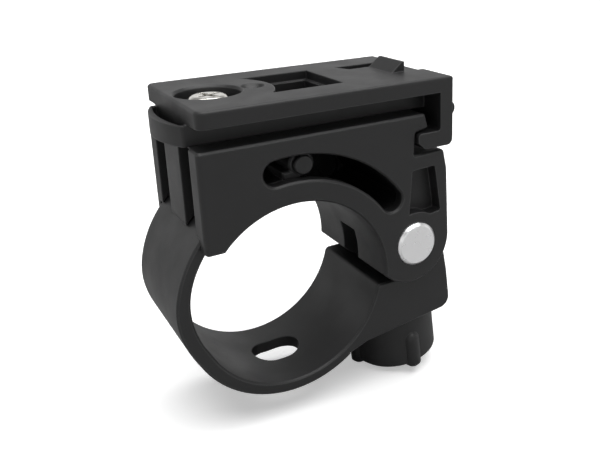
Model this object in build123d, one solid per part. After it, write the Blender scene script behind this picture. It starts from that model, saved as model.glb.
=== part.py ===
from build123d import *
from math import cos, radians, sin, sqrt
import os

# Clip-on lamp mount for a round handlebar. Millimetres, +Z up.
# The origin is the middle of the clamp bore. X runs along the lamp rail and
# Y along the bar. Side outlines are drawn in the X-Z plane.

# Bar and clamp bore
BORE_R = 17.5

# Saddle
SADDLE_HALF = 13.4
WALL = 2.2
LEFT_IN = 1.3
END_WALL = 1.8
EDGE_BEVEL = 0.35
DECK_T = 2.8
ROOM_SPARE = 0.02
SHELL_T = 1.25
FOOT_Z = 11.8
POCKET_DEEP = 2.6

# Clamping hoop
HOOP_HALF = 10.9
RUN_GAP = 0.3
BAND_T = 2.2
LOW_T = 2.12
KNUCKLE_SINK = 0.07
TRACK_HALF = 2.22
TRACK_FROM = 36
TRACK_TO = 98
TAIL_ANGLE = 84
KNUCKLE_R = 2.4
TAIL_PIN_R = 1.75
TAIL_PIN_HALF = 11.9

# Cross pin and swing bolt
EAR_OUT = 6.1
EAR_Z = 4.57
EAR_R = 8.3
PIN_AHEAD = 0.6
PIN_DROP = 0.47
PIN_R = 4.2
PIN_FIT = 0.05
PIN_HALF = 14.1
SEAT_GAP = 0.35
LUG_UNDER = 18.05
LUG_TOP = -3.7
LUG_TIP_R = 0.9
DRAIN_LONG = 9.4
DRAIN_WIDE = 7.2
DRAIN_BACK = 0.6
BOLT_TILT = 5.6
STUD_R = 2.5
FORK_HALF = 2.85
STUD_CLEAR = 0.1

# Knob, measured along the bolt from the cross pin
KNOB_TOP = LUG_UNDER + 0.15
KNOB_LONG = 11.4
KNOB_FLOOR = 1.6
KNOB_R = 9.0
KNOB_RIBS = 4
RIB_R = 1.7
RIB_DROP = 3.6
INSERT_R = 4.4
KNOB_WASHER_R = 6.6
KNOB_WASHER_T = 1.0

# Top plate with the lamp rail
PLATE_IN = 0.4
PLATE_OUT = 8.6
PLATE_HALF = 14.0
PLATE_RISE = 6.5
PLATE_T = 2.85
NECK_HALF = 8.7
COLLAR_BULGE = 2.6
COLLAR_T = 1.1
HOOK_WALL = 2.7
HOOK_DROP = 6.5
HOOK_ARM_T = 3.0
HOOK_LONG = 7.6
WINDOW_IN = 19.1
WINDOW_HALF = 7.4

# Plate screw
SCREW_IN = 6.7
SCREW_R = 2.0
HEAD_R = 3.6
HEAD_H = 2.4
SINK_R = 5.6
SINK_DEPTH = 3.6
WASHER_R = 4.4
WASHER_T = 0.7
NUT_FLATS = 7.0
NUT_H = 3.2

SHELL_R = BORE_R + SHELL_T
BAND_IN = SHELL_R + RUN_GAP
BAND_OUT = BAND_IN + BAND_T
TRACK_R = BAND_OUT + KNUCKLE_R - KNUCKLE_SINK
ROOM_R = TRACK_R + KNUCKLE_R + RUN_GAP
DECK_UNDER = ROOM_R + ROOM_SPARE
DECK_TOP = DECK_UNDER + DECK_T
PLATE_TOP = DECK_TOP + PLATE_RISE
HOOK_BOTTOM = DECK_TOP - HOOK_DROP
SINK_FLOOR = PLATE_TOP - SINK_DEPTH
PLATE_UNDER = PLATE_TOP - PLATE_T
INNER_HALF = SADDLE_HALF - WALL
STUD_LONG = KNOB_TOP + KNOB_LONG - KNOB_FLOOR - STUD_CLEAR
LEFT_X = LEFT_IN - BORE_R
EAR_X = BORE_R + EAR_OUT
PIN_X = EAR_X + PIN_AHEAD
PIN_Z = EAR_Z - PIN_DROP
PLATE_LEFT = LEFT_X + PLATE_IN
COLLAR_REACH = COLLAR_BULGE - LEFT_X
PLATE_RIGHT = EAR_X + PLATE_OUT
HOOK_TIP_X = PLATE_RIGHT - HOOK_LONG
WINDOW_RIGHT = PLATE_RIGHT - WINDOW_IN
CATCH_X = PLATE_RIGHT - 4.2
SCREW_X = PLATE_LEFT + SCREW_IN
PIN_AT = Pos(PIN_X, 0, PIN_Z)


def outline(*edges):
    """Flat area inside a closed run of edges, facing the drawing's own +Z."""
    face = make_face(Curve() + list(edges)).face()
    return Sketch() + (face if face.normal_at().Z > 0 else -face)


def polygon(*corners):
    """Flat area inside straight sides."""
    return outline(*Polyline(*corners, close=True).edges())


def soften(body, half, size):
    """Bevel the edges round both flat sides of a moulding."""
    sides = body.faces().filter_by(Axis.Y).filter_by(
        lambda face: abs(abs(face.center().Y) - half) < 0.001
    )
    return chamfer([edge for face in sides for edge in face.edges()], size)


def polar(radius, angle):
    """A point on a circle about the bore, as an (x, z) pair."""
    return (radius * cos(radians(angle)), radius * sin(radians(angle)))


def across(sketch, low, high):
    """Thicken an X-Z outline between two positions along Y."""
    return Pos(0, high, 0) * extrude(Plane.XZ * sketch, amount=high - low, dir=(0, -1, 0))


def raised(sketch, floor, height):
    """Thicken a plan outline upwards from a floor level."""
    return Pos(0, 0, floor) * extrude(sketch, amount=height, dir=(0, 0, 1))


def wide(sketch, half):
    """Thicken an X-Z outline equally to both sides of the middle."""
    return across(sketch, -half, half)


def rounded(points):
    """Polygon from (x, z, corner radius) triples."""
    sketch = polygon(*[(x, z) for x, z, _ in points])
    for x, z, radius in points:
        if radius > 0:
            corner = sketch.vertices().sort_by_distance(Vector(x, z, 0))[0]
            sketch = fillet(corner, radius)
    return sketch


def sector(inner, outer, start, stop):
    """Ring sector about the bore between two angles."""
    middle = (start + stop) / 2
    outside = ThreePointArc(polar(outer, start), polar(outer, middle), polar(outer, stop))
    inside = ThreePointArc(polar(inner, stop), polar(inner, middle), polar(inner, start))
    first = Line(polar(outer, stop), polar(inner, stop))
    last = Line(polar(inner, start), polar(outer, start))
    return outline(outside, first, inside, last)


def track(half, start, stop):
    """Round-ended slot that follows the tail pin about the bore."""
    ends = [Pos(*polar(TRACK_R, a)) * Circle(half) for a in (start, stop)]
    return sector(TRACK_R - half, TRACK_R + half, start, stop) + ends[0] + ends[1]


def bolt_frame(distance):
    """Place on the swing bolt axis, with local +Z pointing down the bolt."""
    return PIN_AT * Rot(0, 180 - BOLT_TILT, 0) * Pos(0, 0, distance)


def side_of_saddle():
    """Outer side outline of the saddle with its ear and the bore cut away."""
    block = rounded([
        (LEFT_X, DECK_TOP, 0),
        (EAR_X + 2.9, DECK_TOP, 0.5),
        (EAR_X + 3.6, DECK_UNDER, 0.5),
        (EAR_X + 0.8, DECK_TOP - 3.3, 0.4),
        (EAR_X + 0.4, DECK_TOP - 7.6, 0.4),
        (EAR_X + 7.1, DECK_TOP - 7.3, 0.9),
        (EAR_X + 7.9, DECK_TOP - 11.3, 1.5),
        (EAR_X + EAR_R, EAR_Z, 0),
        (EAR_X, EAR_Z, 0),
        (BORE_R - 5.5, 6.0, 0),
        (9.5 - BORE_R, 9.0, 0),
        (4.9 - BORE_R, FOOT_Z, 0),
        (LEFT_X, FOOT_Z, 0),
    ])
    ear = Pos(EAR_X, EAR_Z) * Circle(EAR_R)
    return block + ear - Circle(BORE_R)


def make_saddle():
    """Hollow saddle that sits on the bar and guides the hoop."""
    body = wide(side_of_saddle(), SADDLE_HALF)
    corners = body.edges().filter_by(Axis.Z).filter_by_position(Axis.X, LEFT_X - 0.1, LEFT_X + 0.1)
    body = fillet(corners, 0.9)
    body = soften(body, SADDLE_HALF, EDGE_BEVEL)
    hollow_left = LEFT_X + END_WALL
    room = sector(SHELL_R, ROOM_R, TRACK_FROM - 5, 100)
    room += polygon((hollow_left, 15), (hollow_left, DECK_UNDER), (0, DECK_UNDER), (0, 15))
    room += sector(SHELL_R, BAND_OUT + RUN_GAP, 98, 156)
    room -= Circle(SHELL_R)
    body -= wide(room, INNER_HALF)
    groove = TAIL_PIN_HALF + RUN_GAP
    body -= across(track(TRACK_HALF, TRACK_FROM, TRACK_TO), -SADDLE_HALF - 1, groove)
    rim = body.edges().filter_by(GeomType.CIRCLE)
    rim = [e for e in rim if abs(e.center().Y + SADDLE_HALF) < 0.01
           and abs(e.radius - (TRACK_R - TRACK_HALF)) < 0.05]
    body = chamfer(rim, EDGE_BEVEL)
    for side in (-1, 1):
        window = Pos(LEFT_X, side * 6.75, DECK_TOP - 7.7) * Box(2 * END_WALL + 1.5, 5.5, 15.2)
        body -= window
    body -= make_pocket(-1) + make_pocket(1)
    pin_hole = Pos(PIN_X, PIN_Z) * Circle(PIN_R + PIN_FIT)
    body -= wide(pin_hole, SADDLE_HALF + 1)
    slot = Pos(PIN_X, PIN_Z) * Circle(PIN_R + 1.0)
    slot += Pos(PIN_X, PIN_Z - 9) * Rectangle(30, 20)
    body -= wide(slot, FORK_HALF)
    body -= Pos(SCREW_X, 0, DECK_TOP - 6) * Cylinder(SCREW_R + 0.15, 20)
    for side in (-1, 1):
        cheek = Pos(SCREW_X, side * (NUT_FLATS / 2 + 0.7), DECK_UNDER - 1.4) * Box(8, 1.1, 3.2)
        body += cheek
    return body


def make_pocket(side):
    """Shallow recess in the outside of one ear, curved round the cross pin."""
    recess = rounded([
        (EAR_X - 0.1, EAR_Z + 14.13, 0.6),
        (EAR_X + 5.0, EAR_Z + 14.33, 0.6),
        (EAR_X + 6.3, EAR_Z + 5.03, 0.5),
        (EAR_X - 1.0, EAR_Z + 4.43, 0),
    ])
    recess -= Pos(PIN_X, PIN_Z) * Circle(PIN_R + 2.0)
    depth = POCKET_DEEP
    low = SADDLE_HALF - depth if side > 0 else -SADDLE_HALF - 1
    return across(recess, low, low + depth + 1)


def under_lug(offset):
    """Point on the lug's underside, which the swing bolt crosses squarely."""
    tilt = radians(BOLT_TILT)
    return (
        PIN_X + LUG_UNDER * sin(tilt) + offset * cos(tilt),
        PIN_Z - LUG_UNDER * cos(tilt) + offset * sin(tilt),
    )


def along(angle):
    """Clockwise direction of a circle about the bore at one angle."""
    return Vector(sin(radians(angle)), -cos(radians(angle)))


def make_hoop():
    """One-piece clamping hoop: tail with a knuckle, band and forked lug."""
    low_out = BORE_R + LOW_T
    waist = low_out + 0.4
    outer = Spline(
        polar(waist, -150), polar(waist + 0.38, -163), polar(BAND_OUT - 0.06, -182),
        polar(BAND_OUT, -200), tangents=(along(-150), along(-200)),
    )
    inner = Spline(
        polar(BAND_IN, -204), polar(BAND_IN - 0.3, -184), polar(BORE_R + 0.45, -166),
        polar(BORE_R, -152), tangents=(-along(-204), -along(-152)),
    )
    low_arc = ThreePointArc(polar(low_out, -57), polar(low_out + 0.13, -104), polar(waist, -150))
    tail_out = ThreePointArc(
        polar(BAND_OUT, -200), polar(BAND_OUT, -240), polar(BAND_OUT, TAIL_ANGLE - 360)
    )
    tail_in = ThreePointArc(
        polar(BAND_IN, TAIL_ANGLE - 360), polar(BAND_IN, -240), polar(BAND_IN, -204)
    )
    low_in = ThreePointArc(polar(BORE_R, -152), polar(BORE_R, -100), polar(BORE_R, -57))
    band = outline(
        low_arc,
        outer,
        tail_out,
        Line(polar(BAND_OUT, TAIL_ANGLE), polar(BAND_IN, TAIL_ANGLE)),
        tail_in,
        inner,
        low_in,
        Line(polar(BORE_R, -57), polar(low_out, -57)),
    )
    band += sector(BAND_IN, TRACK_R - 1.0, TAIL_ANGLE, TAIL_ANGLE + 9)
    band += Pos(*polar(TRACK_R, TAIL_ANGLE)) * Circle(KNUCKLE_R)
    lug = rounded([
        (*polar(BORE_R - 2.3, -52), 0),
        (BORE_R - 2.5, LUG_TOP, 0),
        (EAR_X, LUG_TOP, 0),
        (EAR_X + 7.4, EAR_Z - 4.37, 0),
        (EAR_X + 9.0, EAR_Z - 4.37, 0.5),
        (EAR_X + 9.9, EAR_Z - 9.77, 0),
        (*under_lug(8.4), 2.2),
        (*under_lug(-11.6), 3.0),
        (*polar(BORE_R + 2.02562, -56.06578), 0),
        (*polar(BORE_R + 1.50316, -59.65675), 0),
    ])
    lug -= Pos(EAR_X, EAR_Z) * Circle(EAR_R + SEAT_GAP)
    lug -= Circle(BORE_R)
    tip = Vector(sqrt(BORE_R ** 2 - LUG_TOP ** 2), LUG_TOP, 0)
    lug = fillet(lug.vertices().sort_by_distance(tip)[0], LUG_TIP_R)
    body = soften(wide(band + lug, HOOP_HALF), HOOP_HALF, EDGE_BEVEL)
    far = 2 * LUG_UNDER
    fork = wide(polygon(
        (PIN_X, PIN_Z), (PIN_X + far, PIN_Z), (PIN_X + far, PIN_Z - far),
        (PIN_X + far * sin(radians(BOLT_TILT)), PIN_Z - far * cos(radians(BOLT_TILT))),
    ), FORK_HALF)
    fork += bolt_frame(0) * Cylinder(FORK_HALF, 2 * far)
    body -= fork
    drain = Pos(0, DRAIN_BACK) * SlotOverall(DRAIN_LONG, DRAIN_WIDE)
    body -= raised(drain, -BORE_R - 2 * LOW_T, 4 * LOW_T)
    body -= wide(Pos(*polar(TRACK_R, TAIL_ANGLE)) * Circle(TAIL_PIN_R), HOOP_HALF + 1)
    return body


def make_tail_pin():
    """Dowel through the knuckle that runs in the two side tracks."""
    pin = wide(Pos(*polar(TRACK_R, TAIL_ANGLE)) * Circle(TAIL_PIN_R), TAIL_PIN_HALF)
    return chamfer(pin.edges().filter_by(GeomType.CIRCLE), 0.25)


def make_hinge_pin():
    """Bevelled cross barrel, drilled through its middle for the swing bolt."""
    pin = wide(Pos(PIN_X, PIN_Z) * Circle(PIN_R), PIN_HALF)
    pin = chamfer(pin.edges().filter_by(GeomType.CIRCLE), 0.5)
    return pin - bolt_frame(0) * Cylinder(STUD_R + 0.02, 12)


def make_stud():
    """Swing bolt screwed into the barrel, with its lower end bevelled."""
    top = -3.2
    stud = Cylinder(STUD_R, STUD_LONG - top, align=(Align.CENTER, Align.CENTER, Align.MIN))
    stud = chamfer(stud.edges().filter_by(GeomType.CIRCLE), 0.45)
    return bolt_frame(top) * stud


def make_knob():
    """Ribbed knob, hollow at the lug side to take the washer and insert."""
    knob = Cylinder(KNOB_R, KNOB_LONG, align=(Align.CENTER, Align.CENTER, Align.MIN))
    ends = knob.edges().filter_by(GeomType.CIRCLE).sort_by(Axis.Z)
    knob = chamfer(ends[-1], 0.8)
    rib = Pos(0, 0, RIB_DROP + RIB_R) * Cylinder(
        RIB_R, KNOB_LONG - RIB_DROP - RIB_R + 0.3, align=(Align.CENTER, Align.CENTER, Align.MIN)
    )
    rib = chamfer(rib.edges().filter_by(GeomType.CIRCLE).sort_by(Axis.Z)[-1], 0.6)
    rib += Pos(0, 0, RIB_DROP + RIB_R) * Sphere(RIB_R)
    for index in range(KNOB_RIBS):
        knob += Rot(0, 0, 3 + 360 * index / KNOB_RIBS) * Pos(KNOB_R - 0.7, 0, 0) * rib
    knob -= Cylinder(KNOB_WASHER_R + 0.3, 2 * (KNOB_WASHER_T + 0.2))
    knob -= Cylinder(INSERT_R, 4 * KNOB_LONG)
    knob += Pos(0, 0, KNOB_LONG - KNOB_FLOOR) * Cylinder(
        INSERT_R + 0.5, KNOB_FLOOR - 0.2, align=(Align.CENTER, Align.CENTER, Align.MIN)
    )
    return bolt_frame(KNOB_TOP) * knob


def make_insert():
    """Threaded sleeve pressed into the knob, with a knurl groove."""
    long = KNOB_LONG - KNOB_FLOOR - 1.3
    sleeve = Cylinder(INSERT_R, long, align=(Align.CENTER, Align.CENTER, Align.MIN))
    sleeve -= Cylinder(STUD_R + 0.05, 4 * long)
    ring = Pos(0, 0, long / 2) * (Cylinder(INSERT_R + 1, 1.2) - Cylinder(INSERT_R - 0.4, 1.2))
    return bolt_frame(KNOB_TOP + 1.3) * (sleeve - ring)


def make_knob_washer():
    """Flat washer between the knob and the underside of the lug."""
    ring = Cylinder(
        KNOB_WASHER_R, KNOB_WASHER_T, align=(Align.CENTER, Align.CENTER, Align.MIN)
    )
    ring -= Cylinder(STUD_R + 0.35, 4 * KNOB_WASHER_T)
    return bolt_frame(KNOB_TOP) * ring


def collar_face(reach, end_x):
    """Plan outline of the bulging end of the rail neck."""
    arc = ThreePointArc((end_x, -NECK_HALF), (-reach, 0), (end_x, NECK_HALF))
    back = Line((end_x, NECK_HALF), (0, NECK_HALF))
    front = Line((0, -NECK_HALF), (end_x, -NECK_HALF))
    return outline(arc, back, Line((0, NECK_HALF), (0, -NECK_HALF)), front)


def make_top_plate():
    """One moulding: lamp plate, rail neck, curved end wall and end hook."""
    mid = (PLATE_LEFT + PLATE_RIGHT) / 2
    long = PLATE_RIGHT - PLATE_LEFT
    slab = Pos(mid, 0, PLATE_UNDER) * Box(
        long, 2 * PLATE_HALF, PLATE_T, align=(Align.CENTER, Align.CENTER, Align.MIN)
    )
    uprights = slab.edges().filter_by(Axis.Z).sort_by(Axis.X)
    slab = fillet(uprights[:2], 1.6)
    slab = fillet(slab.faces().sort_by(Axis.Z)[-1].edges(), 0.5)
    neck_h = PLATE_UNDER - DECK_TOP
    neck_long = PLATE_RIGHT - HOOK_WALL - PLATE_LEFT
    neck = Pos(PLATE_LEFT, 0, DECK_TOP) * Box(
        neck_long, 2 * NECK_HALF, neck_h, align=(Align.MIN, Align.CENTER, Align.MIN)
    )
    collar = raised(collar_face(COLLAR_REACH, LEFT_X - 0.4), DECK_TOP, neck_h - 0.2)
    collar = fillet(collar.edges().filter_by(Axis.Z).sort_by(Axis.X)[:2], 0.5)
    pit_area = Pos(-30, 0) * Rectangle(2 * (30 + PLATE_LEFT), 2 * (NECK_HALF - 0.9))
    pit_area = collar_face(COLLAR_REACH - COLLAR_T, LEFT_X - 0.1) & pit_area
    pit = raised(pit_area, DECK_TOP + 0.8, PLATE_UNDER - DECK_TOP - 0.8)
    hook = wide(rounded([
        (PLATE_RIGHT, PLATE_UNDER + 0.5, 0),
        (PLATE_RIGHT, HOOK_BOTTOM, 1.2),
        (HOOK_TIP_X + 1.4, HOOK_BOTTOM, 0),
        (HOOK_TIP_X, HOOK_BOTTOM + 1.3, 0),
        (HOOK_TIP_X, HOOK_BOTTOM + HOOK_ARM_T, 0.7),
        (PLATE_RIGHT - HOOK_WALL, HOOK_BOTTOM + HOOK_ARM_T, 0.6),
        (PLATE_RIGHT - HOOK_WALL, PLATE_UNDER + 0.5, 0),
    ]), PLATE_HALF)
    plate = slab + neck + collar + hook - pit
    grip = Rot(90, 0, 0) * Cylinder(1.5, 2 * PLATE_HALF - 2.4)
    grip = Pos(PLATE_RIGHT - 0.1, 0, DECK_TOP + 0.1) * grip
    grip -= Pos(PLATE_RIGHT - 10, 0, DECK_TOP + 0.1) * Box(20 - 2 * 1.0, 60, 6)
    plate += grip
    plate -= Pos(PLATE_RIGHT, 0, PLATE_TOP) * Box(3.4, 10.4, 13)
    sink_h = PLATE_TOP - SINK_FLOOR
    sink = Pos(SCREW_X, 0, SINK_FLOOR) * Cylinder(
        SINK_R, sink_h + 1, align=(Align.CENTER, Align.CENTER, Align.MIN)
    )
    plate -= sink
    rim = plate.edges().filter_by(GeomType.CIRCLE).filter_by(
        lambda e: abs(e.radius - SINK_R) < 0.01 and abs(e.center().Z - PLATE_TOP) < 0.01
    )
    plate = chamfer(rim, 0.4)
    plate -= Pos(SCREW_X, 0, DECK_TOP) * Cylinder(SCREW_R + 0.15, 20)
    plate -= Pos(SCREW_X + 8.1, 0, PLATE_TOP + 1.7) * Sphere(2.75)
    plate -= plan_window(0.0, PLATE_TOP - 1.7, 4)
    plate -= plan_window(0.8, DECK_TOP + 0.8, 8)
    slot = polygon(
        (CATCH_X - 9.3, 6.6), (CATCH_X - 7.8, 3.1), (CATCH_X, 3.1), (CATCH_X, 6.6)
    )
    plate -= raised(slot, DECK_TOP + 0.8, 8)
    tooth = polygon(
        (CATCH_X - 3.8, PLATE_TOP - 0.3),
        (CATCH_X - 1.0, PLATE_TOP + 1.9),
        (CATCH_X - 0.6, PLATE_TOP + 1.9),
        (CATCH_X - 0.6, PLATE_TOP - 0.3),
    )
    plate += across(tooth, -5.2, 3.1)
    return plate


def plan_window(inset, floor, height):
    """Cutter for the plate window, whose near end is curved about the screw."""
    half = WINDOW_HALF - inset
    area = Pos(SCREW_X + 15, 0) * Rectangle(30, 2 * half)
    area &= Pos(WINDOW_RIGHT - inset - 20, 0) * Rectangle(40, 2 * half)
    area -= Pos(SCREW_X, 0) * Circle(11.3 + inset)
    return raised(area, floor, height)


def make_plate_screw():
    """Pan head screw with a cross recess."""
    head_z = SINK_FLOOR + WASHER_T
    head = Pos(SCREW_X, 0, head_z) * Cylinder(
        HEAD_R, HEAD_H, align=(Align.CENTER, Align.CENTER, Align.MIN)
    )
    head = fillet(head.edges().filter_by(GeomType.CIRCLE).sort_by(Axis.Z)[-1], 1.3)
    cross = Box(4.2, 0.9, 3) + Box(0.9, 4.2, 3)
    cross = Pos(SCREW_X, 0, head_z + HEAD_H) * Rot(0, 0, 20) * cross
    foot = DECK_UNDER - NUT_H - 1.0
    shank = Pos(SCREW_X, 0, foot) * Cylinder(
        SCREW_R, head_z - foot + 0.2, align=(Align.CENTER, Align.CENTER, Align.MIN)
    )
    shank = chamfer(shank.edges().filter_by(GeomType.CIRCLE).sort_by(Axis.Z)[0], 0.4)
    return head + shank - cross


def make_plate_washer():
    """Flat washer under the screw head."""
    ring = Cylinder(WASHER_R, WASHER_T) - Cylinder(SCREW_R + 0.1, 3)
    return Pos(SCREW_X, 0, SINK_FLOOR + WASHER_T / 2) * ring


def make_plate_nut():
    """Hexagon nut under the saddle deck, flats along the rail."""
    hexagon = RegularPolygon(NUT_FLATS / 2, 6, major_radius=False)
    nut = raised(hexagon - Circle(SCREW_R + 0.03), DECK_UNDER - NUT_H, NUT_H)
    return Pos(SCREW_X, 0, 0) * nut


os.makedirs("parts", exist_ok=True)
PIECES = {
    "saddle": make_saddle,
    "hoop": make_hoop,
    "tail_pin": make_tail_pin,
    "hinge_pin": make_hinge_pin,
    "swing_stud": make_stud,
    "knob": make_knob,
    "knob_insert": make_insert,
    "knob_washer": make_knob_washer,
    "top_plate": make_top_plate,
    "plate_screw": make_plate_screw,
    "plate_washer": make_plate_washer,
    "plate_nut": make_plate_nut,
}
for name, build in PIECES.items():
    export_step(build(), f"parts/{name}.step")
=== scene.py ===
from math import cos, radians, sin

import bmesh
import bpy
from bpy.props import FloatProperty, FloatVectorProperty, IntProperty, PointerProperty
from mathutils import Matrix, Vector


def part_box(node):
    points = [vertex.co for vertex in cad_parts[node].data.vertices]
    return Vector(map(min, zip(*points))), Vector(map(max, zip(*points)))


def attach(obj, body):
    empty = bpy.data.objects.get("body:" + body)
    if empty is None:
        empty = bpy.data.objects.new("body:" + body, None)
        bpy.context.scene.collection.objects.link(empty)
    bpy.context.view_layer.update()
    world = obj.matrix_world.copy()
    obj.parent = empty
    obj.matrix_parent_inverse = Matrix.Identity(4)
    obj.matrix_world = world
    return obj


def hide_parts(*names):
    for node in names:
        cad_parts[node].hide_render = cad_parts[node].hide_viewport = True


bl_info = {
    "name": "Bicycle lamp mount",
    "version": (1, 0, 0),
    "blender": (4, 5, 0),
    "location": "3D View > Sidebar > Lamp mount",
    "description": "Finishes the moulded and metal pieces of a clip-on lamp mount and sets its stage",
    "category": "Object",
}

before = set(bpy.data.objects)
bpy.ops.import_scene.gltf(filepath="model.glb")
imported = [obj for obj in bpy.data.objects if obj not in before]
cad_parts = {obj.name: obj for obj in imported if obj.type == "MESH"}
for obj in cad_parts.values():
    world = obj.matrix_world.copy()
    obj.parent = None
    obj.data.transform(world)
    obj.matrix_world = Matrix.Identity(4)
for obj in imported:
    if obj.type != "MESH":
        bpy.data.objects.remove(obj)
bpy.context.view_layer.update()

MM = 0.001
PHOTO_WIDTH = 600
PHOTO_HEIGHT = 450
SENSOR_WIDTH = 36.0

NOISE_LOW, NOISE_HIGH = 0.3, 0.7
MOTTLE_SCALE = 140.0
CLOUD_SCALE = 900.0
EDGE_SHARPNESS = 6.0
GRAIN_STRENGTH = 0.55
MARK_DEPTH = 0.01 * MM
METAL_SHADE = 0.97
METAL_GLOSS_SPREAD = 0.03
MOULD_GLOSS_BELOW, MOULD_GLOSS_ABOVE = 0.05, 0.06
KNOB_ROUGHER = 0.04

THREAD_START = -3.2 * MM
THREAD_LEAD = 0.45 * MM
THREAD_CHAMFER = 0.1 * MM
CREST_FROM, CREST_TO = 0.42, 0.58
MERGE_DISTANCE = 0.002 * MM

CLIP_NEAR, CLIP_FAR = 0.01, 20
FLOOR_HALF = 2.0
FLOOR_GAP = 0.05 * MM
FLOOR_WHITE = 0.92
FADE_FROM, FADE_TO = 0.3, 0.65
KEY_PLACE = (-0.5, -0.05, 0.28)
KEY_AIM = (0.006, 0, 0.004)
KEY_SIZE = (0.4, 0.4)

MOULDED = ("saddle", "hoop", "top_plate", "knob", "tail_pin")
STEEL = ("swing_stud", "knob_washer", "plate_washer", "plate_nut")


class MouldedSettings(bpy.types.PropertyGroup):
    """Black moulded plastic of the saddle, hoop, plate and knob"""

    colour: FloatVectorProperty(
        name="Colour", description="Base colour of the black plastic",
        subtype="COLOR", size=3, min=0, max=1, default=(0.0108, 0.0108, 0.0112),
    )
    # Edge colour is a painted highlight: a lighter grey mixed in along sharp edges in place of the
    # light they catch.
    edge_highlight_colour: FloatVectorProperty(
        name="Edge colour", description="Slightly greyer colour where edges are rubbed",
        subtype="COLOR", size=3, min=0, max=1, default=(0.11, 0.11, 0.112),
    )
    roughness: FloatProperty(
        name="Roughness", description="Mean roughness of the moulded face",
        default=0.47, min=0, max=1,
    )
    grain_size: FloatProperty(
        name="Grain size", description="Size of the fine mould texture",
        default=0.28 * MM, min=0.02 * MM, subtype="DISTANCE", unit="LENGTH",
    )
    grain_depth: FloatProperty(
        name="Grain depth", description="Depth of the fine mould texture",
        default=0.012 * MM, min=0, subtype="DISTANCE", unit="LENGTH",
    )
    edge_radius: FloatProperty(
        name="Edge radius", description="Radius to which sharp edges are softened",
        default=0.36 * MM, min=0, subtype="DISTANCE", unit="LENGTH",
    )


class MetalSettings(bpy.types.PropertyGroup):
    """Bright cross pin, screw and plated hardware"""

    pin_colour: FloatVectorProperty(
        name="Pin colour", description="Colour of the turned cross pin",
        subtype="COLOR", size=3, min=0, max=1, default=(0.98, 0.98, 0.985),
    )
    nickel_colour: FloatVectorProperty(
        name="Nickel colour", description="Colour of the plated plate screw",
        subtype="COLOR", size=3, min=0, max=1, default=(0.83, 0.81, 0.76),
    )
    zinc_colour: FloatVectorProperty(
        name="Zinc colour", description="Colour of the bolt, nut and washers",
        subtype="COLOR", size=3, min=0, max=1, default=(0.58, 0.59, 0.61),
    )
    brass_colour: FloatVectorProperty(
        name="Brass colour", description="Colour of the knob insert",
        subtype="COLOR", size=3, min=0, max=1, default=(0.72, 0.52, 0.23),
    )
    tool_mark_pitch: FloatProperty(
        name="Tool mark pitch", description="Spacing of the turning marks",
        default=0.12 * MM, min=0.01 * MM, subtype="DISTANCE", unit="LENGTH",
    )


class BoltSettings(bpy.types.PropertyGroup):
    """Thread of the swing bolt"""

    radius: FloatProperty(
        name="Thread radius", description="Radius over the crests of the thread",
        default=2.48 * MM, subtype="DISTANCE", unit="LENGTH",
    )
    depth: FloatProperty(
        name="Thread depth", description="Height of the thread from root to crest",
        default=0.42 * MM, subtype="DISTANCE", unit="LENGTH",
    )
    pitch: FloatProperty(
        name="Pitch", description="Distance between crests along the bolt",
        default=0.8 * MM, subtype="DISTANCE", unit="LENGTH",
    )
    tilt: FloatProperty(
        name="Tilt", description="Lean of the bolt away from straight down",
        default=radians(5.6), subtype="ANGLE", unit="ROTATION",
    )
    steps: IntProperty(
        name="Steps", description="Segments round one turn of the thread",
        default=32, min=8,
    )


class StageSettings(bpy.types.PropertyGroup):
    """Camera, floor and studio light"""

    camera_place: FloatVectorProperty(
        name="Camera place", description="Camera position in the part's own frame",
        subtype="TRANSLATION", unit="LENGTH", size=3, default=(-0.04811, -0.11862, 0.06134),
    )
    yaw: FloatProperty(
        name="Yaw", description="Camera turn towards the hook end, from facing the front",
        default=radians(32.493), subtype="ANGLE", unit="ROTATION",
    )
    pitch: FloatProperty(
        name="Pitch", description="Camera tilt below the horizontal",
        default=radians(16.835), subtype="ANGLE", unit="ROTATION",
    )
    roll: FloatProperty(
        name="Roll", description="Camera roll about its view axis",
        default=radians(-1.04), subtype="ANGLE", unit="ROTATION",
    )
    focal: FloatProperty(
        name="Focal length", description="Focal length in photograph pixels", default=729.5,
    )
    centre_x: FloatProperty(
        name="Centre across", description="View axis in photograph pixels from the left",
        default=391.0,
    )
    centre_y: FloatProperty(
        name="Centre down", description="View axis in photograph pixels from the top",
        default=150.0,
    )
    sun_power: FloatProperty(
        name="Overhead power", description="Strength of the soft light from overhead",
        default=3.3, min=0,
    )
    sun_spread: FloatProperty(
        name="Overhead spread", description="Angle over which the overhead light comes",
        default=radians(72), subtype="ANGLE", unit="ROTATION",
    )
    sun_lean: FloatProperty(
        name="Overhead lean", description="Lean of the overhead light towards the back",
        default=radians(5.5), subtype="ANGLE", unit="ROTATION",
    )
    key_power: FloatProperty(
        name="Key power", description="Power of the left softbox", default=0.1, min=0,
    )
    room_diffuse: FloatProperty(
        name="Room light", description="Strength of the white room in diffuse light",
        default=0.3, min=0,
    )
    room_glossy: FloatProperty(
        name="Room reflection", description="Strength of the white room in reflections",
        default=0.8, min=0,
    )
    ceiling: FloatProperty(
        name="Ceiling", description="Share of the room light that comes from high up",
        default=0.28, min=0, max=1,
    )
    floor_bounce: FloatProperty(
        name="Floor bounce", description="Brightness of the floor as other surfaces see it",
        default=0.46, min=0, max=1,
    )
    floor_tilt: FloatProperty(
        name="Floor tilt", description="Lean of the floor that the hoop and knob rest on",
        default=radians(5.0), subtype="ANGLE", unit="ROTATION",
    )
    floor_lift: FloatProperty(
        name="Floor lift", description="Light added to the floor as the camera sees it",
        default=0.42, min=0, max=1,
    )


def link(tree, source, output, target, socket):
    """Join one node's output to another's input by their names."""
    tree.links.new(source.outputs[output], target.inputs[socket])


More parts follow.
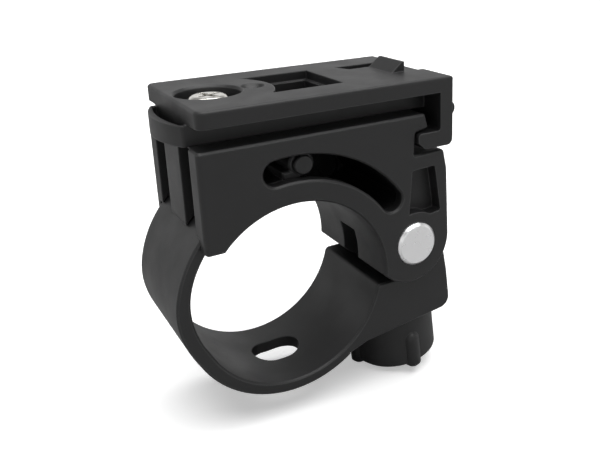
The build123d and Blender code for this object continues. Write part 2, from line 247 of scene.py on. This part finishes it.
def node_group(name, inputs, outputs):
    """Empty shader group with named float, vector or colour sockets."""
    tree = bpy.data.node_groups.new(name, "ShaderNodeTree")
    for label, kind, default in inputs:
        socket = tree.interface.new_socket(name=label, in_out="INPUT", socket_type=kind)
        if default is not None:
            socket.default_value = default
    for label, kind in outputs:
        tree.interface.new_socket(name=label, in_out="OUTPUT", socket_type=kind)
    entry = tree.nodes.new("NodeGroupInput")
    leave = tree.nodes.new("NodeGroupOutput")
    return tree, entry, leave


def math_node(tree, operation, *values):
    """Math node whose inputs are numbers or (node, output name) pairs."""
    node = tree.nodes.new("ShaderNodeMath")
    node.operation = operation
    for index, value in enumerate(values):
        if isinstance(value, tuple):
            tree.links.new(value[0].outputs[value[1]], node.inputs[index])
        else:
            node.inputs[index].default_value = value
    return node


def noise_node(tree, coordinates, scale, detail, rough):
    """Noise texture read from given coordinates."""
    node = tree.nodes.new("ShaderNodeTexNoise")
    node.inputs["Detail"].default_value = detail
    node.inputs["Roughness"].default_value = rough
    if isinstance(scale, tuple):
        tree.links.new(scale[0].outputs[scale[1]], node.inputs["Scale"])
    else:
        node.inputs["Scale"].default_value = scale
    tree.links.new(coordinates, node.inputs["Vector"])
    return node


def mould_grain_group():
    """Fine pitted mould texture with faint large mottling."""
    tree, entry, leave = node_group(
        "Mould grain",
        [("Grain Size", "NodeSocketFloat", 0.0003)],
        [("Height", "NodeSocketFloat"), ("Mottle", "NodeSocketFloat")],
    )
    place = tree.nodes.new("ShaderNodeTexCoord").outputs["Object"]
    scale = math_node(tree, "DIVIDE", 1.0, (entry, "Grain Size"))
    fine = noise_node(tree, place, (scale, "Value"), 3.0, 0.6)
    cells = tree.nodes.new("ShaderNodeTexVoronoi")
    cells.feature = "SMOOTH_F1"
    tree.links.new(place, cells.inputs["Vector"])
    link(tree, scale, "Value", cells, "Scale")
    pits = math_node(tree, "MULTIPLY", (cells, "Distance"), 0.5)
    height = math_node(tree, "ADD", (fine, "Fac"), (pits, "Value"))
    broad = noise_node(tree, place, MOTTLE_SCALE, 4.0, 0.55)
    link(tree, height, "Value", leave, "Height")
    link(tree, broad, "Fac", leave, "Mottle")
    return tree


def edge_group(radius):
    """Softened normal at sharp edges, and a mask that is 1 on them."""
    tree, entry, leave = node_group(
        "Soft edge",
        [("Sharpness", "NodeSocketFloat", 9.0)],
        [("Normal", "NodeSocketVector"), ("Mask", "NodeSocketFloat")],
    )
    bevel = tree.nodes.new("ShaderNodeBevel")
    bevel.samples = 6
    bevel.inputs["Radius"].default_value = radius
    flat = tree.nodes.new("ShaderNodeNewGeometry")
    dot = tree.nodes.new("ShaderNodeVectorMath")
    dot.operation = "DOT_PRODUCT"
    link(tree, bevel, "Normal", dot, 0)
    link(tree, flat, "Normal", dot, 1)
    away = math_node(tree, "SUBTRACT", 1.0, (dot, "Value"))
    mask = math_node(tree, "MULTIPLY", (away, "Value"), (entry, "Sharpness"))
    mask.use_clamp = True
    link(tree, bevel, "Normal", leave, "Normal")
    link(tree, mask, "Value", leave, "Mask")
    return tree


def tool_mark_group():
    """Concentric turning marks about an axis, with finer random scratches."""
    tree, entry, leave = node_group(
        "Tool marks",
        [("Vector", "NodeSocketVector", None), ("Pitch", "NodeSocketFloat", 0.0001)],
        [("Height", "NodeSocketFloat"), ("Variation", "NodeSocketFloat")],
    )
    apart = tree.nodes.new("ShaderNodeSeparateXYZ")
    link(tree, entry, "Vector", apart, "Vector")
    across = math_node(tree, "POWER", (apart, "X"), 2.0)
    along = math_node(tree, "POWER", (apart, "Z"), 2.0)
    total = math_node(tree, "ADD", (across, "Value"), (along, "Value"))
    radius = math_node(tree, "SQRT", (total, "Value"))
    turns = math_node(tree, "DIVIDE", (radius, "Value"), (entry, "Pitch"))
    lay = tree.nodes.new("ShaderNodeCombineXYZ")
    link(tree, turns, "Value", lay, "X")
    rings = noise_node(tree, lay.outputs["Vector"], 1.0, 2.0, 0.6)
    cloud = noise_node(tree, entry.outputs["Vector"], CLOUD_SCALE, 4.0, 0.6)
    link(tree, rings, "Fac", leave, "Height")
    link(tree, cloud, "Fac", leave, "Variation")
    return tree


def new_material(name):
    """Material with its Principled shader, ready to dress."""
    material = bpy.data.materials.new(name)
    material.use_nodes = True
    tree = material.node_tree
    shader = tree.nodes["Principled BSDF"]
    return material, tree, shader


def place_group(tree, group):
    """Put one shared effect into a material."""
    node = tree.nodes.new("ShaderNodeGroup")
    node.node_tree = group
    return node


def ranged(tree, source, output, low, high):
    """Spread a 0..1 value over another range."""
    node = tree.nodes.new("ShaderNodeMapRange")
    node.inputs["From Min"].default_value = NOISE_LOW
    node.inputs["From Max"].default_value = NOISE_HIGH
    node.inputs["To Min"].default_value = low
    node.inputs["To Max"].default_value = high
    link(tree, source, output, node, "Value")
    return node


def bump_over(tree, height, output, normal, strength, distance):
    """Bump node that adds a height to an earlier normal."""
    bump = tree.nodes.new("ShaderNodeBump")
    bump.inputs["Strength"].default_value = strength
    bump.inputs["Distance"].default_value = distance
    link(tree, height, output, bump, "Height")
    tree.links.new(normal, bump.inputs["Normal"])
    return bump


def moulded_material(name, settings, roughness):
    """Black moulded plastic: grain, mottled gloss and a painted highlight along sharp edges."""
    material, tree, shader = new_material(name)
    grain = place_group(tree, bpy.data.node_groups["Mould grain"])
    grain.inputs["Grain Size"].default_value = settings.grain_size
    edge = place_group(tree, bpy.data.node_groups["Soft edge"])
    edge.inputs["Sharpness"].default_value = EDGE_SHARPNESS
    colour = tree.nodes.new("ShaderNodeMix")
    colour.data_type = "RGBA"
    colour.inputs["A"].default_value = (*settings.colour, 1)
    colour.inputs["B"].default_value = (*settings.edge_highlight_colour, 1)
    # Painted highlight: the edge mask, varied by the mottle, mixes the lighter edge colour in along
    # sharp edges.
    highlit = math_node(tree, "MULTIPLY", (edge, "Mask"), (grain, "Mottle"))
    link(tree, highlit, "Value", colour, "Factor")
    gloss = ranged(
        tree, grain, "Mottle", roughness - MOULD_GLOSS_BELOW, roughness + MOULD_GLOSS_ABOVE
    )
    bump = bump_over(
        tree, grain, "Height", edge.outputs["Normal"], GRAIN_STRENGTH, settings.grain_depth
    )
    link(tree, colour, "Result", shader, "Base Color")
    link(tree, gloss, "Result", shader, "Roughness")
    link(tree, bump, "Normal", shader, "Normal")
    shader.inputs["Specular IOR Level"].default_value = 0.5
    return material


def metal_material(name, colour, roughness, centre, pitch, marks):
    """Turned or plated metal with fine marks about its own axis."""
    material, tree, shader = new_material(name)
    place = tree.nodes.new("ShaderNodeTexCoord")
    shift = tree.nodes.new("ShaderNodeMapping")
    shift.inputs["Location"].default_value = [-value for value in centre]
    link(tree, place, "Object", shift, "Vector")
    marks_node = place_group(tree, bpy.data.node_groups["Tool marks"])
    marks_node.inputs["Pitch"].default_value = pitch
    link(tree, shift, "Vector", marks_node, "Vector")
    edge = place_group(tree, bpy.data.node_groups["Soft edge"])
    spread = METAL_GLOSS_SPREAD
    gloss = ranged(tree, marks_node, "Variation", roughness - spread, roughness + spread)
    bump = bump_over(tree, marks_node, "Height", edge.outputs["Normal"], marks, MARK_DEPTH)
    shade = tree.nodes.new("ShaderNodeMix")
    shade.data_type = "RGBA"
    shade.inputs["A"].default_value = (*[c * METAL_SHADE for c in colour], 1)
    shade.inputs["B"].default_value = (*colour, 1)
    link(tree, marks_node, "Variation", shade, "Factor")
    link(tree, shade, "Result", shader, "Base Color")
    link(tree, gloss, "Result", shader, "Roughness")
    link(tree, bump, "Normal", shader, "Normal")
    shader.inputs["Metallic"].default_value = 1.0
    return material


def dress(node, material):
    """Give a node's own object a better material in all its slots."""
    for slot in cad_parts[node].material_slots:
        slot.material = material


class MOUNT_OT_effects(bpy.types.Operator):
    """Make the shared shader effects"""

    bl_idname = "lamp_mount.effects"
    bl_label = "Make shared effects"

    def execute(self, context):
        mould_grain_group()
        edge_group(context.scene.mount_moulded.edge_radius)
        tool_mark_group()
        return {"FINISHED"}


class MOUNT_OT_moulded(bpy.types.Operator):
    """Finish the black moulded pieces"""

    bl_idname = "lamp_mount.moulded"
    bl_label = "Finish moulded pieces"

    def execute(self, context):
        settings = context.scene.mount_moulded
        for node in MOULDED:
            rough = settings.roughness + (KNOB_ROUGHER if node == "knob" else 0.0)
            dress(node, moulded_material(node + " plastic", settings, rough))
        return {"FINISHED"}


class MOUNT_OT_metal(bpy.types.Operator):
    """Finish the cross pin, plate screw, insert and plated hardware"""

    bl_idname = "lamp_mount.metal"
    bl_label = "Finish metal pieces"

    def execute(self, context):
        settings = context.scene.mount_metal
        pitch = settings.tool_mark_pitch
        finishes = {
            "hinge_pin": (settings.pin_colour, 0.30, 0.08),
            "plate_screw": (settings.nickel_colour, 0.22, 0.15),
            "knob_insert": (settings.brass_colour, 0.35, 0.3),
        }
        for node in STEEL:
            finishes[node] = (settings.zinc_colour, 0.34, 0.25)
        for node, (colour, rough, marks) in finishes.items():
            low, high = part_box(node)
            centre = [(a + b) / 2 for a, b in zip(low, high)]
            material = metal_material(node + " metal", colour, rough, centre, pitch, marks)
            dress(node, material)
        return {"FINISHED"}


class MOUNT_OT_bolt(bpy.types.Operator):
    """Cut the thread of the swing bolt"""

    bl_idname = "lamp_mount.bolt"
    bl_label = "Thread the swing bolt"

    def execute(self, context):
        settings = context.scene.mount_bolt
        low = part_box("swing_stud")[0]
        pin_low, pin_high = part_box("hinge_pin")
        pin = Vector([(a + b) / 2 for a, b in zip(pin_low, pin_high)])
        down = Vector((sin(settings.tilt), 0, -cos(settings.tilt)))
        length = (pin.z - low[2]) / cos(settings.tilt) - settings.radius * sin(settings.tilt)
        shape = bmesh.new()
        crest = settings.radius
        root = settings.radius - settings.depth
        height = THREAD_START + THREAD_LEAD
        outline = [(0.0, THREAD_START), (root - THREAD_CHAMFER, THREAD_START)]
        while height < length - settings.pitch:
            outline.append((root, height))
            outline.append((crest, height + settings.pitch * CREST_FROM))
            outline.append((crest, height + settings.pitch * CREST_TO))
            height += settings.pitch
        outline.append((root, height))
        outline.append((root - THREAD_CHAMFER, length))
        outline.append((0.0, length))
        ring = [shape.verts.new((radius, 0, -along)) for radius, along in outline]
        edges = [shape.edges.new(pair) for pair in zip(ring, ring[1:])]
        bmesh.ops.spin(
            shape, geom=ring + edges, cent=(0, 0, 0), axis=(0, 0, 1),
            angle=radians(360), steps=settings.steps, use_merge=True,
        )
        bmesh.ops.remove_doubles(shape, verts=shape.verts, dist=MERGE_DISTANCE)
        bmesh.ops.recalc_face_normals(shape, faces=shape.faces)
        turn = Vector((0, 0, -1)).rotation_difference(down).to_matrix().to_4x4()
        bmesh.ops.transform(shape, matrix=Matrix.Translation(pin) @ turn, verts=shape.verts)
        mesh = bpy.data.meshes.new("bolt_thread")
        shape.to_mesh(mesh)
        shape.free()
        bolt = bpy.data.objects.new("bolt_thread", mesh)
        context.scene.collection.objects.link(bolt)
        mesh.materials.append(bpy.data.materials["swing_stud metal"])
        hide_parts("swing_stud")
        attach(bolt, "bolt_body")
        return {"FINISHED"}


def softbox(name, place, aim, size, power):
    """Square area lamp pointed at a spot."""
    lamp = bpy.data.lights.new(name, "AREA")
    lamp.shape = "RECTANGLE"
    lamp.size, lamp.size_y = size
    lamp.energy = power
    holder = bpy.data.objects.new(name, lamp)
    holder.location = place
    holder.rotation_euler = (Vector(aim) - Vector(place)).to_track_quat("-Z", "Y").to_euler()
    bpy.context.scene.collection.objects.link(holder)


def camera_axes(settings):
    """Right, up and forward vectors of the camera."""
    yaw, pitch, roll = settings.yaw, settings.pitch, settings.roll
    forward = Vector((sin(yaw) * cos(pitch), cos(yaw) * cos(pitch), -sin(pitch)))
    level = Vector((cos(yaw), -sin(yaw), 0))
    rise = level.cross(forward)
    right = level * cos(roll) + rise * sin(roll)
    up = rise * cos(roll) - level * sin(roll)
    return right, up, forward


def seen_directly(tree):
    """Factor that is 1 for camera rays and rays passing straight through."""
    path = tree.nodes.new("ShaderNodeLightPath")
    seen = math_node(tree, "MAXIMUM", (path, "Is Camera Ray"), (path, "Is Transmission Ray"))
    return path, seen


class MOUNT_OT_stage(bpy.types.Operator):
    """Set the camera, pale floor, backdrop and soft studio light"""

    bl_idname = "lamp_mount.stage"
    bl_label = "Set the stage"

    def execute(self, context):
        scene = context.scene
        settings = scene.mount_stage
        data = bpy.data.cameras.new("camera")
        camera = bpy.data.objects.new("camera", data)
        scene.collection.objects.link(camera)
        scene.camera = camera
        right, up, forward = camera_axes(settings)
        facing = Matrix((right, up, -forward)).transposed().to_4x4()
        camera.matrix_world = Matrix.Translation(settings.camera_place) @ facing
        data.sensor_fit = "HORIZONTAL"
        data.sensor_width = SENSOR_WIDTH
        data.lens = settings.focal / PHOTO_WIDTH * data.sensor_width
        data.shift_x = (PHOTO_WIDTH / 2 - settings.centre_x) / PHOTO_WIDTH
        data.shift_y = (settings.centre_y - PHOTO_HEIGHT / 2) / PHOTO_WIDTH
        data.clip_start = CLIP_NEAR
        data.clip_end = CLIP_FAR

        lean = Matrix.Rotation(settings.floor_tilt, 4, "Y")
        upright = lean.to_3x3() @ Vector((0, 0, 1))
        depth = min(
            upright.dot(node.matrix_world @ vertex.co)
            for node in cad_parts.values() for vertex in node.data.vertices
        )
        shape = bmesh.new()
        bmesh.ops.create_grid(shape, x_segments=1, y_segments=1, size=FLOOR_HALF)
        bmesh.ops.translate(shape, verts=shape.verts, vec=(0, 0, depth - FLOOR_GAP))
        bmesh.ops.transform(shape, matrix=lean, verts=shape.verts)
        mesh = bpy.data.meshes.new("floor")
        shape.to_mesh(mesh)
        shape.free()
        floor = bpy.data.objects.new("floor", mesh)
        scene.collection.objects.link(floor)
        material, tree, shader = new_material("floor white")
        seen = seen_directly(tree)[1]
        bounce = settings.floor_bounce
        tint = tree.nodes.new("ShaderNodeMix")
        tint.data_type = "RGBA"
        tint.inputs["A"].default_value = (bounce, bounce, bounce, 1)
        tint.inputs["B"].default_value = (FLOOR_WHITE, FLOOR_WHITE, FLOOR_WHITE, 1)
        link(tree, seen, "Value", tint, "Factor")
        link(tree, tint, "Result", shader, "Base Color")
        lift = math_node(tree, "MULTIPLY", (seen, "Value"), settings.floor_lift)
        side = tree.nodes.new("ShaderNodeNewGeometry")
        solid = math_node(tree, "SUBTRACT", 1.0, (side, "Backfacing"))
        link(tree, solid, "Value", shader, "Alpha")
        shader.inputs["Emission Color"].default_value = (1, 1, 1, 1)
        link(tree, lift, "Value", shader, "Emission Strength")
        shader.inputs["Roughness"].default_value = 1.0
        shader.inputs["Specular IOR Level"].default_value = 0.0
        mesh.materials.append(material)

        world = bpy.data.worlds.new("studio")
        scene.world = world
        world.use_nodes = True
        tree = world.node_tree
        back = tree.nodes["Background"]
        back.inputs["Color"].default_value = (1, 1, 1, 1)
        path, seen = seen_directly(tree)
        room = tree.nodes.new("ShaderNodeMix")
        room.inputs["A"].default_value = settings.room_diffuse
        room.inputs["B"].default_value = settings.room_glossy
        link(tree, path, "Is Glossy Ray", room, "Factor")
        where = tree.nodes.new("ShaderNodeTexCoord")
        rise = tree.nodes.new("ShaderNodeVectorMath")
        rise.operation = "DOT_PRODUCT"
        rise.inputs[1].default_value = (0, 0, 1)
        link(tree, where, "Generated", rise, 0)
        fade = tree.nodes.new("ShaderNodeMapRange")
        fade.interpolation_type = "SMOOTHSTEP"
        fade.inputs["From Min"].default_value = FADE_FROM
        fade.inputs["From Max"].default_value = FADE_TO
        fade.inputs["To Min"].default_value = 1.0
        fade.inputs["To Max"].default_value = settings.ceiling
        link(tree, rise, "Value", fade, "Value")
        graded = math_node(tree, "MULTIPLY", (room, "Result"), (fade, "Result"))
        strength = tree.nodes.new("ShaderNodeMix")
        strength.inputs["B"].default_value = 1.0
        link(tree, seen, "Value", strength, "Factor")
        link(tree, graded, "Value", strength, "A")
        link(tree, strength, "Result", back, "Strength")

        sun = bpy.data.lights.new("overhead light", "SUN")
        sun.energy = settings.sun_power
        sun.angle = settings.sun_spread
        holder = bpy.data.objects.new("overhead light", sun)
        holder.rotation_euler = (settings.sun_lean, settings.floor_tilt, 0)
        scene.collection.objects.link(holder)
        softbox("key softbox", KEY_PLACE, KEY_AIM, KEY_SIZE, settings.key_power)
        scene.view_settings.view_transform = "Standard"
        return {"FINISHED"}


class MOUNT_PT_sidebar(bpy.types.Panel):
    """Lists the steps that finish the lamp mount"""

    bl_idname = "MOUNT_PT_sidebar"
    bl_label = "Lamp mount"
    bl_space_type = "VIEW_3D"
    bl_region_type = "UI"
    bl_category = "Lamp mount"

    def draw(self, context):
        for group in SETTINGS:
            box = self.layout.box()
            settings = getattr(context.scene, group)
            box.label(text=settings.bl_rna.description)
            for name in settings.__annotations__:
                box.prop(settings, name)
        for operator in OPERATORS:
            self.layout.operator(operator.bl_idname)


SETTINGS = {
    "mount_moulded": MouldedSettings,
    "mount_metal": MetalSettings,
    "mount_bolt": BoltSettings,
    "mount_stage": StageSettings,
}
OPERATORS = (MOUNT_OT_effects, MOUNT_OT_moulded, MOUNT_OT_metal, MOUNT_OT_bolt, MOUNT_OT_stage)


def register():
    """Register the settings, operators and panel."""
    for name, kind in SETTINGS.items():
        bpy.utils.register_class(kind)
        setattr(bpy.types.Scene, name, PointerProperty(type=kind))
    for kind in (*OPERATORS, MOUNT_PT_sidebar):
        bpy.utils.register_class(kind)


def unregister():
    """Remove what register added."""
    for kind in (MOUNT_PT_sidebar, *reversed(OPERATORS)):
        bpy.utils.unregister_class(kind)
    for name, kind in reversed(SETTINGS.items()):
        delattr(bpy.types.Scene, name)
        bpy.utils.unregister_class(kind)


def main():
    """Run every step in order."""
    register()
    bpy.ops.lamp_mount.effects()
    bpy.ops.lamp_mount.moulded()
    bpy.ops.lamp_mount.metal()
    bpy.ops.lamp_mount.bolt()
    bpy.ops.lamp_mount.stage()


if __name__ == "__main__":
    main()
